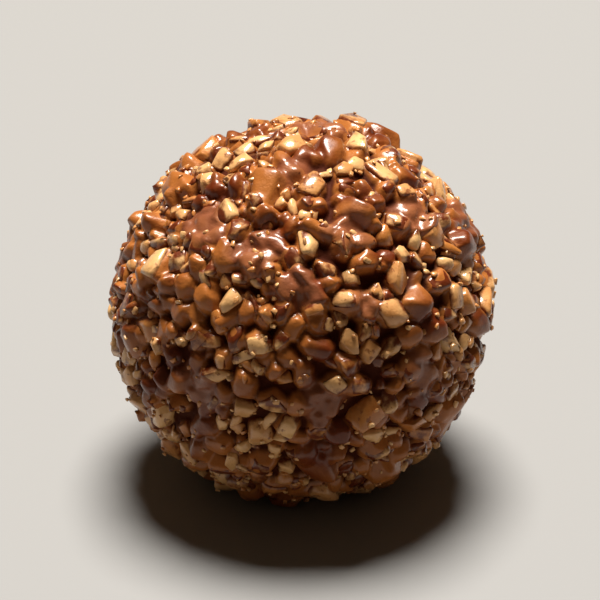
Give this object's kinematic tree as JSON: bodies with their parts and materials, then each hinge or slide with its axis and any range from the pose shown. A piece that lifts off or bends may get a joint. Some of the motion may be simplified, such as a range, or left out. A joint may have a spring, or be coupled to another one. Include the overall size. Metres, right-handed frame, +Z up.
{
  "type": "chocolate truffle",
  "caption": "Round milk chocolate truffle coated all over in chopped roasted nuts, resting on a small flat spot.",
  "frame": {"origin": "centre of the small flat spot that the truffle rests on", "axes": "+Z up from the flat spot, X and Y level and along the two rows of the tray that such truffles are packed in"},
  "size_m": [0.0277, 0.0272, 0.0263],
  "materials": {
    "nut_chocolate": "milk chocolate over chopped roasted nuts, satin, with small bright glints"
  },
  "bodies": {
    "root": {"truffle": "nut_chocolate"}
  },
  "joints": []
}
